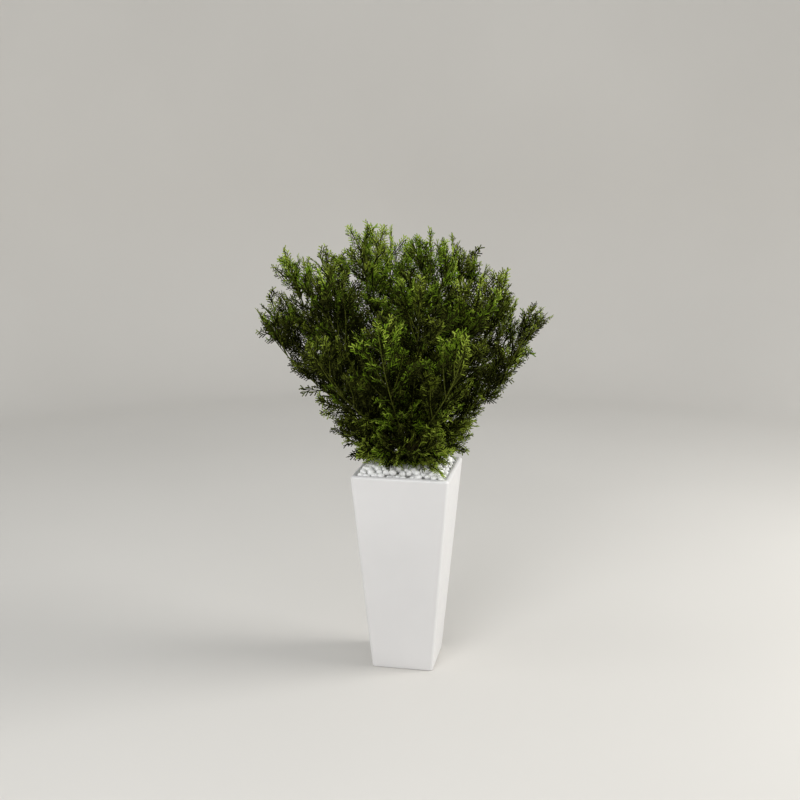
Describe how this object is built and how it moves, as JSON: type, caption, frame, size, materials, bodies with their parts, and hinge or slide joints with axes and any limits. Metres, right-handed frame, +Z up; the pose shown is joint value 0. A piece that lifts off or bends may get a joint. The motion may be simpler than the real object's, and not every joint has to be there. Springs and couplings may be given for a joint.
{
  "type": "artificial potted cedar",
  "caption": "Bushy artificial cedar of flat feathery sprays that fan out from a short stem, in a tall tapered square white planter topped with pebbles.",
  "frame": {"origin": "middle of the planter's flat underside", "axes": "+Z up through the stem, -Y is the front face of the planter, +X to its right as seen from the front"},
  "size_m": [0.6482, 0.6311, 1.0078],
  "materials": {
    "planter": "satin",
    "fill": "matte",
    "pebble": "matte",
    "stem": "matte",
    "bough": "matte",
    "foliage": "matte"
  },
  "bodies": {
    "root": {"planter": "planter", "potting_fill": "fill", "pebble_bed": "pebble", "stem": "stem", "bough_crest_1": "bough", "foliage_crest_1": "foliage", "bough_crest_2": "bough", "foliage_crest_2": "foliage", "bough_crest_3": "bough", "foliage_crest_3": "foliage", "bough_crest_4": "bough", "foliage_crest_4": "foliage", "bough_upper_1": "bough", "foliage_upper_1": "foliage", "bough_upper_2": "bough", "foliage_upper_2": "foliage", "bough_upper_3": "bough", "foliage_upper_3": "foliage", "bough_upper_4": "bough", "foliage_upper_4": "foliage", "bough_upper_5": "bough", "foliage_upper_5": "foliage", "bough_upper_6": "bough", "foliage_upper_6": "foliage", "bough_upper_7": "bough", "foliage_upper_7": "foliage", "bough_upper_8": "bough", "foliage_upper_8": "foliage", "bough_outer_1": "bough", "foliage_outer_1": "foliage", "bough_outer_2": "bough", "foliage_outer_2": "foliage", "bough_outer_3": "bough", "foliage_outer_3": "foliage", "bough_outer_4": "bough", "foliage_outer_4": "foliage", "bough_outer_5": "bough", "foliage_outer_5": "foliage", "bough_outer_6": "bough", "foliage_outer_6": "foliage", "bough_outer_7": "bough", "foliage_outer_7": "foliage", "bough_outer_8": "bough", "foliage_outer_8": "foliage", "bough_outer_9": "bough", "foliage_outer_9": "foliage", "bough_outer_10": "bough", "foliage_outer_10": "foliage", "bough_outer_11": "bough", "foliage_outer_11": "foliage", "foliage_skirt_1": "foliage", "foliage_skirt_2": "foliage", "foliage_skirt_3": "foliage", "foliage_skirt_4": "foliage", "foliage_skirt_5": "foliage", "foliage_skirt_6": "foliage", "foliage_skirt_7": "foliage", "foliage_skirt_8": "foliage"}
  },
  "joints": []
}
